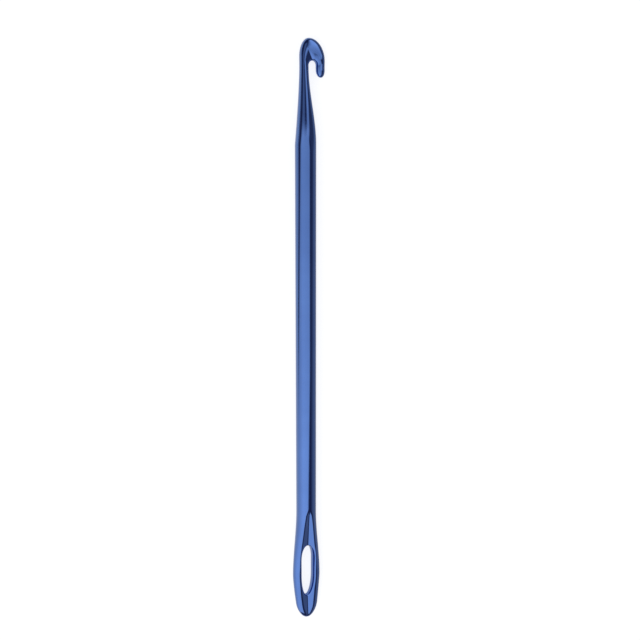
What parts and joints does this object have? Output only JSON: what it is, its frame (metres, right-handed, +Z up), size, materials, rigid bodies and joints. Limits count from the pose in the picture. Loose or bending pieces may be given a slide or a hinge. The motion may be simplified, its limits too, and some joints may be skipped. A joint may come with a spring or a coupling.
{
  "type": "tunisian crochet hook",
  "caption": "Round metal crochet hook with a coined, tapered head at one end and a flattened, grooved end with a long eye at the other.",
  "frame": {"origin": "under the middle of the straight shaft, on the line on which the shaft rests", "axes": "+Y along the shaft towards the hook, +X towards the side that the lip points to, +Z up; the hook lies rolled about its shaft, on the shaft and the head's shoulder, as it comes to rest on a table"},
  "size_m": [0.0094, 0.1736, 0.006],
  "materials": {
    "anodised_aluminium": "polished, anodised blue"
  },
  "bodies": {
    "root": {"hook_head": "anodised_aluminium", "shaft": "anodised_aluminium", "eye_end": "anodised_aluminium"}
  },
  "joints": []
}
